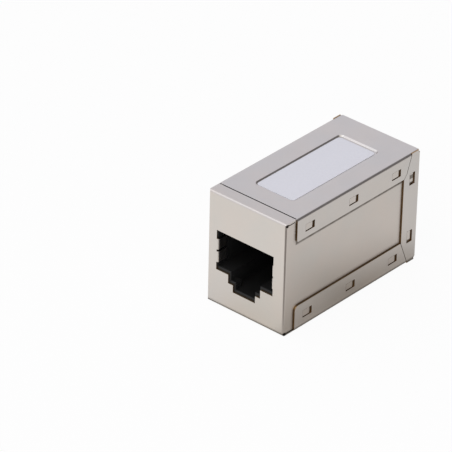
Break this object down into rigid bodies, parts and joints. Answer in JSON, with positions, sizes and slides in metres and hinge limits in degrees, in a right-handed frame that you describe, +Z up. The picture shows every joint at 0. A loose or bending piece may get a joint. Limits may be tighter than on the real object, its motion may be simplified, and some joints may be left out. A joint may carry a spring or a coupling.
{
  "type": "rj45 inline coupler",
  "caption": "Shielded inline coupler that joins two patch cords: a folded metal case with a modular jack at each end.",
  "frame": {"origin": "centre of the coupler's footprint, on the plane it stands on", "axes": "+Y along the coupler from the front port to the rear port, +Z up, away from the latch side of the ports, +X to the right as seen from the front"},
  "size_m": [0.0166, 0.0328, 0.0206],
  "materials": {
    "plated_shell": "satin nickel plate over brass sheet",
    "plated_cover": "satin nickel plate over brass sheet",
    "label_paper": "matte white film label, left bare",
    "board": "green solder mask",
    "black_plastic": "moulded black thermoplastic",
    "insert_plastic": "moulded black thermoplastic",
    "gold_contact": "gold-plated spring wire"
  },
  "bodies": {
    "root": {"front_shell": "plated_shell", "rear_cover": "plated_cover", "label": "label_paper", "circuit_board": "board", "front_jack_housing": "black_plastic", "rear_jack_housing": "black_plastic", "front_contact_insert": "insert_plastic", "rear_contact_insert": "insert_plastic", "front_contact_1": "gold_contact", "front_contact_2": "gold_contact", "front_contact_3": "gold_contact", "front_contact_4": "gold_contact", "front_contact_5": "gold_contact", "front_contact_6": "gold_contact", "front_contact_7": "gold_contact", "front_contact_8": "gold_contact", "rear_contact_1": "gold_contact", "rear_contact_2": "gold_contact", "rear_contact_3": "gold_contact", "rear_contact_4": "gold_contact", "rear_contact_5": "gold_contact", "rear_contact_6": "gold_contact", "rear_contact_7": "gold_contact", "rear_contact_8": "gold_contact"}
  },
  "joints": []
}
